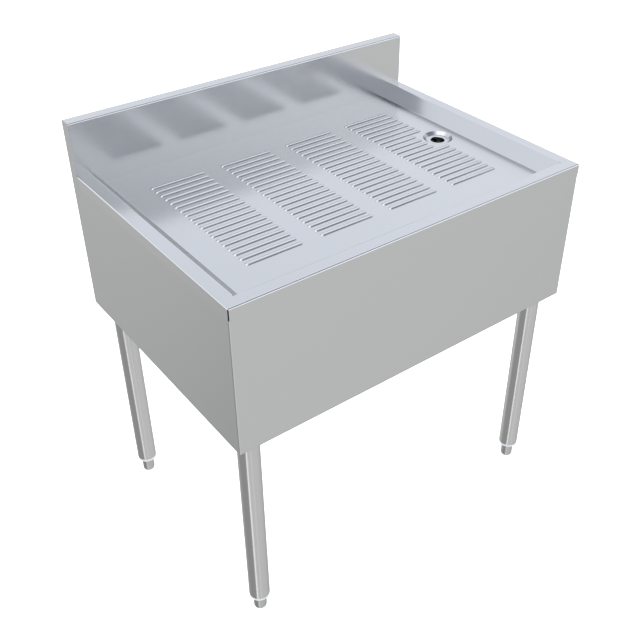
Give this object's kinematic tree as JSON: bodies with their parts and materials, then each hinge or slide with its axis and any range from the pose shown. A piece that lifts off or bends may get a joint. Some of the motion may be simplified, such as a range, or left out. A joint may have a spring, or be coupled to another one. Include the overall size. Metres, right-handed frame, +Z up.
{
  "type": "underbar drainboard",
  "caption": "Free-standing stainless underbar drainboard with embossed ribs, a small drain, a low backsplash, a deep apron and levelling legs.",
  "frame": {"origin": "on the floor under the middle of the body's outline", "axes": "+Z up, +X to the user's right with the drain, +Y to the backsplash and the wall"},
  "size_m": [0.762, 0.54, 0.852],
  "materials": {
    "top_sheet": "satin stainless sheet",
    "body_sheet": "satin stainless sheet",
    "frame_steel": "mill finish sheet",
    "fastener_steel": "bright zinc",
    "drain_metal": "polished",
    "seal_rubber": "matt black",
    "leg_tube_steel": "satin tube",
    "white_nylon": "moulded",
    "foot_steel": "satin, turned"
  },
  "bodies": {
    "body": {"drainboard_top": "top_sheet", "backsplash_end_left": "body_sheet", "backsplash_end_right": "body_sheet", "wraparound_apron": "body_sheet", "rear_rail": "frame_steel", "deck_channel_left": "frame_steel", "deck_channel_right": "frame_steel", "channel_studs": "fastener_steel", "channel_nuts": "fastener_steel", "leg_set_screws": "fastener_steel", "drain_fitting": "drain_metal", "drain_gasket": "seal_rubber", "drain_washer": "fastener_steel", "drain_locknut": "drain_metal", "corner_gusset_front_left": "frame_steel", "leg_socket_front_left": "frame_steel", "leg_tube_front_left": "leg_tube_steel", "foot_insert_front_left": "white_nylon", "corner_gusset_front_right": "frame_steel", "leg_socket_front_right": "frame_steel", "leg_tube_front_right": "leg_tube_steel", "foot_insert_front_right": "white_nylon", "corner_gusset_rear_left": "frame_steel", "leg_socket_rear_left": "frame_steel", "leg_tube_rear_left": "leg_tube_steel", "foot_insert_rear_left": "white_nylon", "corner_gusset_rear_right": "frame_steel", "leg_socket_rear_right": "frame_steel", "leg_tube_rear_right": "leg_tube_steel", "foot_insert_rear_right": "white_nylon"},
    "levelling_foot_front_left": {"foot_front_left": "foot_steel", "foot_stem_front_left": "fastener_steel"},
    "levelling_foot_front_right": {"foot_front_right": "foot_steel", "foot_stem_front_right": "fastener_steel"},
    "levelling_foot_rear_left": {"foot_rear_left": "foot_steel", "foot_stem_rear_left": "fastener_steel"},
    "levelling_foot_rear_right": {"foot_rear_right": "foot_steel", "foot_stem_rear_right": "fastener_steel"}
  },
  "joints": [
    {"name": "foot_screw_front_left", "type": "slide", "parent": "body", "child": "levelling_foot_front_left", "axis": [0, 0, -1], "range_m": [0, 0.025]},
    {"name": "foot_screw_front_right", "type": "slide", "parent": "body", "child": "levelling_foot_front_right", "axis": [0, 0, -1], "range_m": [0, 0.025]},
    {"name": "foot_screw_rear_left", "type": "slide", "parent": "body", "child": "levelling_foot_rear_left", "axis": [0, 0, -1], "range_m": [0, 0.025]},
    {"name": "foot_screw_rear_right", "type": "slide", "parent": "body", "child": "levelling_foot_rear_right", "axis": [0, 0, -1], "range_m": [0, 0.025]}
  ]
}
